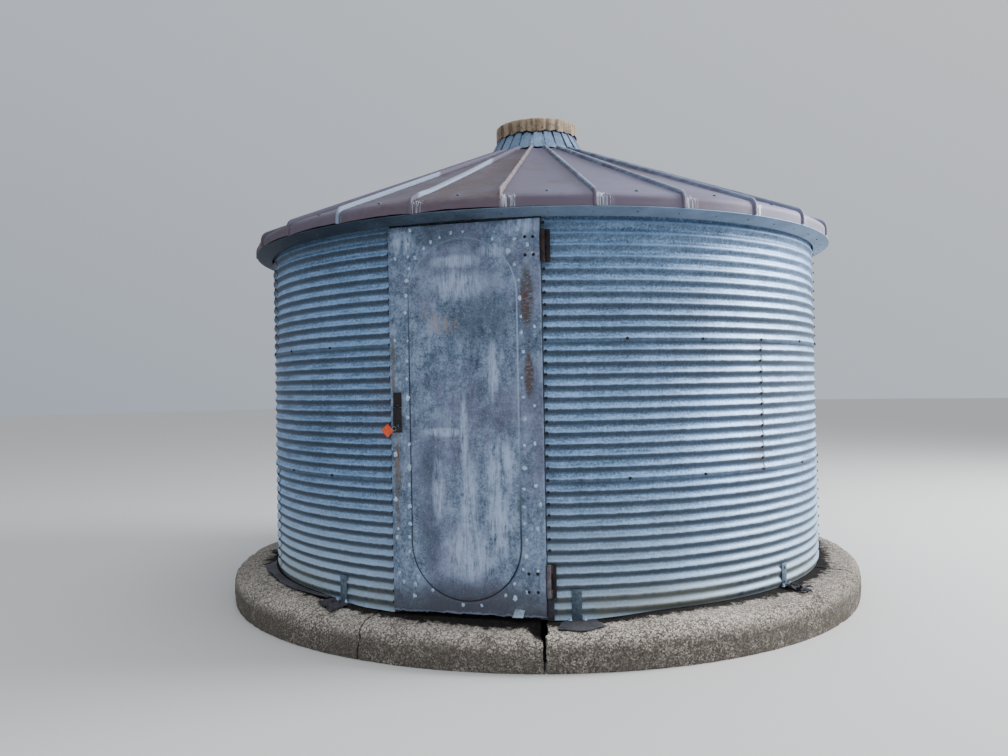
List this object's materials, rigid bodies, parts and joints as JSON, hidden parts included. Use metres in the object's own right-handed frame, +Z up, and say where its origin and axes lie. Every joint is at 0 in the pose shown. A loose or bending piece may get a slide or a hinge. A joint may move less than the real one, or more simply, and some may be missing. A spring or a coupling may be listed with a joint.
{
  "type": "round corrugated steel grain bin",
  "caption": "Round corrugated steel grain bin on a concrete footing, with a ribbed conical roof, a fill cap and a hinged flat steel door with a hasp.",
  "frame": {"origin": "centre of the footing's underside, at ground level on the bin's vertical axis", "axes": "+Z up along the bin's axis, -Y out through the middle of the door, +X to the right when facing the door"},
  "size_m": [4.9, 4.9, 3.682],
  "materials": {
    "concrete": "weathered concrete with bare aggregate, cracks and moss at the foot",
    "galvanized": "old galvanized corrugated sheet, dull blue-grey with darker valleys and white oxide bloom",
    "dull_zinc": "dark weathered galvanized strip with rust at the bolts",
    "door_zinc": "mottled galvanized door skin with pale wash marks and rust stains",
    "rusted_roof": "evenly rusted brown roof sheet with pale streaks at the ribs",
    "ochre_paint": "flaking ochre paint over rust",
    "rusted_iron": "dark rusted iron",
    "orange_tag": "faded orange plastic tag"
  },
  "bodies": {
    "bin": {"floor_slab": "concrete", "footing_front": "concrete", "footing_right": "concrete", "footing_back": "concrete", "footing_left": "concrete", "wall_bottom_sheet_1": "galvanized", "wall_bottom_sheet_2": "galvanized", "wall_bottom_sheet_3": "galvanized", "wall_bottom_sheet_4": "galvanized", "wall_bottom_sheet_5": "galvanized", "wall_middle_sheet_1": "galvanized", "wall_middle_sheet_2": "galvanized", "wall_middle_sheet_3": "galvanized", "wall_middle_sheet_4": "galvanized", "wall_middle_sheet_5": "galvanized", "wall_top_sheet_1": "galvanized", "wall_top_sheet_2": "galvanized", "wall_top_sheet_3": "galvanized", "wall_top_sheet_4": "galvanized", "wall_top_sheet_5": "galvanized", "eave_flashing_front": "dull_zinc", "eave_flashing_back": "dull_zinc", "roof_panels_front": "rusted_roof", "roof_panels_right": "rusted_roof", "roof_panels_back": "rusted_roof", "roof_panels_left": "rusted_roof", "roof_collar": "dull_zinc", "fill_cap": "ochre_paint", "door_jamb_left": "dull_zinc", "door_jamb_right": "dull_zinc", "door_header": "dull_zinc", "door_sill": "dull_zinc", "hinge_lower_frame_leaf": "rusted_iron", "hinge_upper_frame_leaf": "rusted_iron", "hasp_staple": "rusted_iron", "anchor_1": "dull_zinc", "anchor_2": "dull_zinc", "anchor_3": "dull_zinc", "anchor_4": "dull_zinc", "anchor_5": "dull_zinc", "anchor_6": "dull_zinc", "anchor_7": "dull_zinc", "anchor_8": "dull_zinc"},
    "door": {"door_panel": "door_zinc", "door_liner": "door_zinc", "hinge_lower_door_leaf": "rusted_iron", "hinge_upper_door_leaf": "rusted_iron", "hasp_plate": "rusted_iron"},
    "hasp": {"hasp_strap": "rusted_iron", "seal_tag": "orange_tag"}
  },
  "joints": [
    {"name": "door_hinge", "type": "hinge", "parent": "bin", "child": "door", "pos_m": [0.488, -2.105, 1.3975], "axis": [0, 0, 1], "range_deg": [0, 150]},
    {"name": "hasp_hinge", "type": "hinge", "parent": "door", "child": "hasp", "pos_m": [-0.424, -2.109, 1.448], "axis": [-1, 0, 0], "range_deg": [0, 150]}
  ]
}
